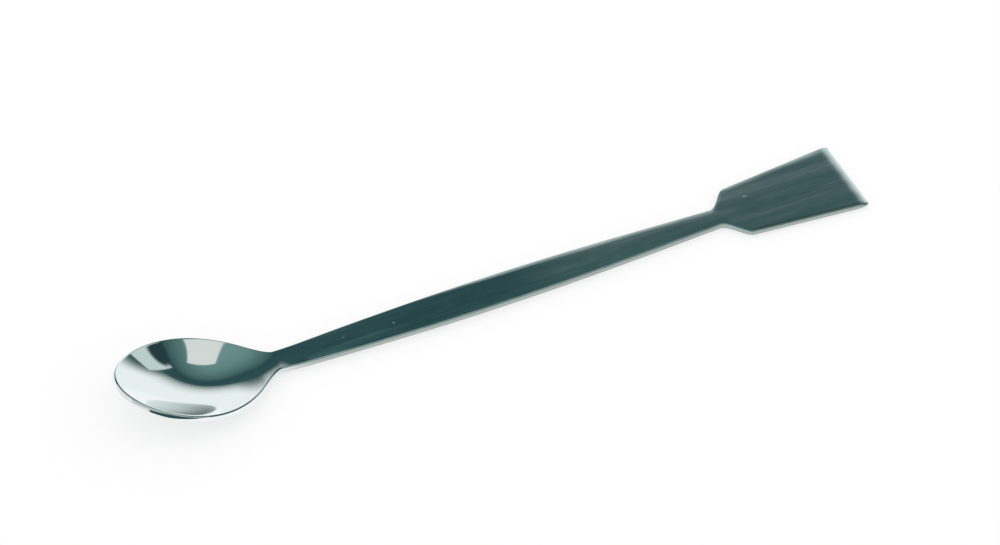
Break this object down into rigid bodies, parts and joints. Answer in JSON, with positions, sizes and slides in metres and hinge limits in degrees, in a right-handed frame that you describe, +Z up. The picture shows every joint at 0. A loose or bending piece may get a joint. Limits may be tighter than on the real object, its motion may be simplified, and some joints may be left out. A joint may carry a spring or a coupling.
{
  "type": "lab spatula",
  "caption": "Stainless steel lab spatula with an egg-shaped spoon bowl at the end of a flat strip handle and a flat, shouldered blade at the other end.",
  "frame": {"origin": "middle of the footprint, on the surface that the spatula lies on", "axes": "+X along the spatula from the bowl towards the blade, +Z up, out of the hollow of the bowl"},
  "size_m": [0.1804, 0.027, 0.0105],
  "materials": {
    "stainless_steel": "polished bowl and edges, fine grinding lines along the handle and the blade"
  },
  "bodies": {
    "root": {"spatula": "stainless_steel"}
  },
  "joints": []
}
